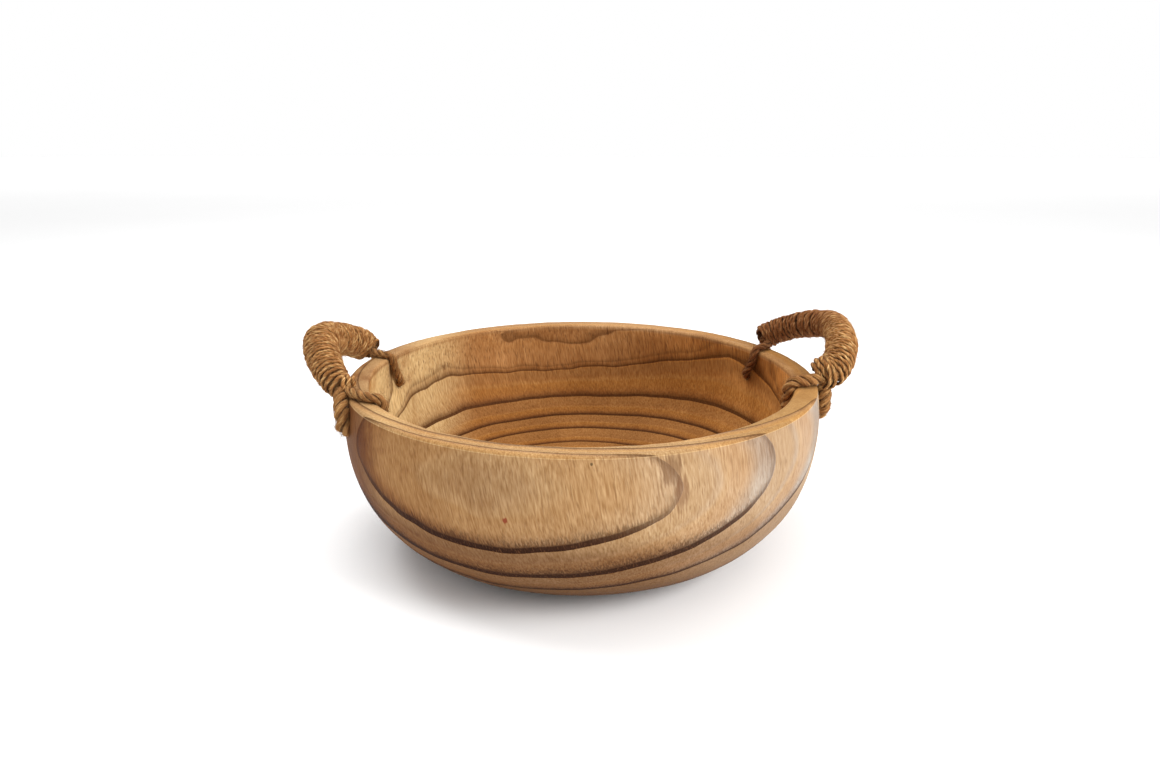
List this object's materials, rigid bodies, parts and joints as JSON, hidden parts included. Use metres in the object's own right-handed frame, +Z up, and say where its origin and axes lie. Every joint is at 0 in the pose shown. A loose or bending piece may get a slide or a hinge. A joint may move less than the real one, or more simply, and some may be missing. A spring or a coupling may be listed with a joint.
{
  "type": "carved wooden bowl with rope handles",
  "caption": "Round bowl carved from pale wood, with a flat rim, rounded sides and twine-wrapped rope handles that are tied through holes in the wall and swing on the rim.",
  "frame": {"origin": "centre of the flat base, on the surface that the bowl stands on", "axes": "+Z up through the mouth; one handle towards -X, the other towards +X turned 10 degrees; -Y is the side that the bowl is usually seen from"},
  "size_m": [0.3628, 0.3038, 0.1422],
  "materials": {
    "bowl_wood": "oiled pale wood with dark growth rings, satin to matt",
    "rope_core": "laid jute rope",
    "whipping_twine": "twisted jute twine, fibrous and matt",
    "tie_rope": "twisted jute rope, fibrous and matt"
  },
  "bodies": {
    "bowl": {"bowl": "bowl_wood", "left_front_tie": "tie_rope", "left_rear_tie": "tie_rope", "right_front_tie": "tie_rope", "right_rear_tie": "tie_rope"},
    "left_handle": {"left_handle_core": "rope_core", "left_handle_wrap": "whipping_twine", "left_front_hitch": "whipping_twine", "left_rear_hitch": "whipping_twine"},
    "right_handle": {"right_handle_core": "rope_core", "right_handle_wrap": "whipping_twine", "right_front_hitch": "whipping_twine", "right_rear_hitch": "whipping_twine"}
  },
  "joints": [
    {"name": "left_handle_swing", "type": "hinge", "parent": "bowl", "child": "left_handle", "pos_m": [-0.14775, 0.00258, 0.1135], "axis": [0.0175, 0.9998, 0], "range_deg": [-39, 61], "deforming": ["left_front_tie", "left_rear_tie"]},
    {"name": "right_handle_swing", "type": "hinge", "parent": "bowl", "child": "right_handle", "pos_m": [0.14552, 0.02566, 0.1135], "axis": [0.1736, -0.9848, 0], "range_deg": [-35, 65], "deforming": ["right_front_tie", "right_rear_tie"]}
  ]
}
